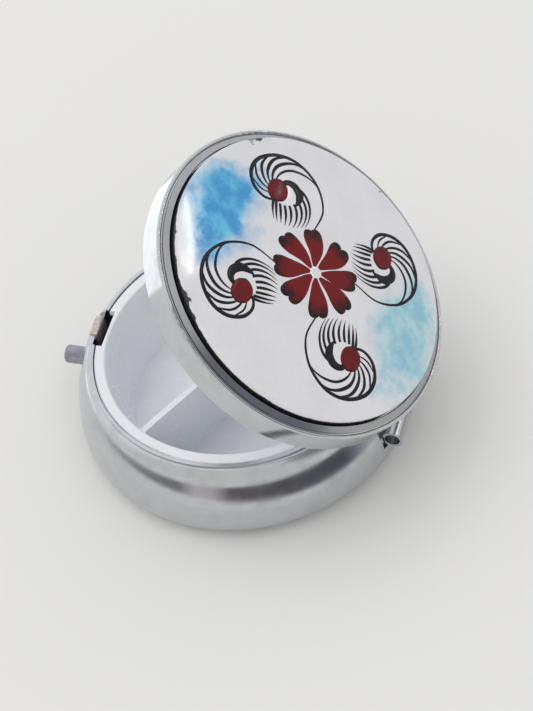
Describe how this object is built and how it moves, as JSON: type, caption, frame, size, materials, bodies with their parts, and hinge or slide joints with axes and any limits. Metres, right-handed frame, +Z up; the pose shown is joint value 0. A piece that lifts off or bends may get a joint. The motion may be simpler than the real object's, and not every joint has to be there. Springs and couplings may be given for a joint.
{
  "type": "pill box",
  "caption": "Round pressed-metal pill box with a divided plastic tray, a push-button latch and a hinged lid that carries a domed enamelled disc.",
  "frame": {"origin": "centre of the base's flat underside", "axes": "+Z up; -Y towards the push button at the front; +Y towards the hinge at the back"},
  "size_m": [0.05, 0.058, 0.0455],
  "materials": {
    "chrome_shell": "bright chromed pressed steel",
    "plated_fitting": "nickel-plated strip",
    "latch_brass": "dull rolled brass",
    "spring_steel": "drawn wire",
    "tray_plastic": "moulded, smooth",
    "liner_plate": "polished sheet",
    "copper_oxidised": "fire-blackened copper",
    "enamel": "glossy fired enamel",
    "resin": "cast resin",
    "pad": "adhesive foam"
  },
  "bodies": {
    "base": {"base_shell": "chrome_shell", "tray": "tray_plastic", "tray_pads": "pad", "base_hinge_leaf": "chrome_shell", "hinge_pin": "plated_fitting", "hinge_washers": "plated_fitting", "spring_bracket": "plated_fitting"},
    "latch": {"push_button": "chrome_shell", "latch_plate": "latch_brass", "stem_clip": "plated_fitting", "return_spring": "spring_steel"},
    "lid": {"lid_shell": "chrome_shell", "lid_liner": "liner_plate", "lid_catch": "plated_fitting", "lid_hinge_leaf": "chrome_shell", "copper_plate": "copper_oxidised", "enamel_face": "enamel", "resin_bed": "resin"}
  },
  "joints": [
    {"name": "lid_hinge", "type": "hinge", "parent": "base", "child": "lid", "pos_m": [0, 0.0246, 0.00655], "axis": [-1, 0, 0], "range_deg": [-41.6, 48.4]},
    {"name": "button_press", "type": "slide", "parent": "base", "child": "latch", "axis": [0, 1, 0], "range_m": [0, 0.001], "stiffness_N_per_m": 1200, "springref_m": -0.0006, "deforming": ["return_spring"]}
  ]
}
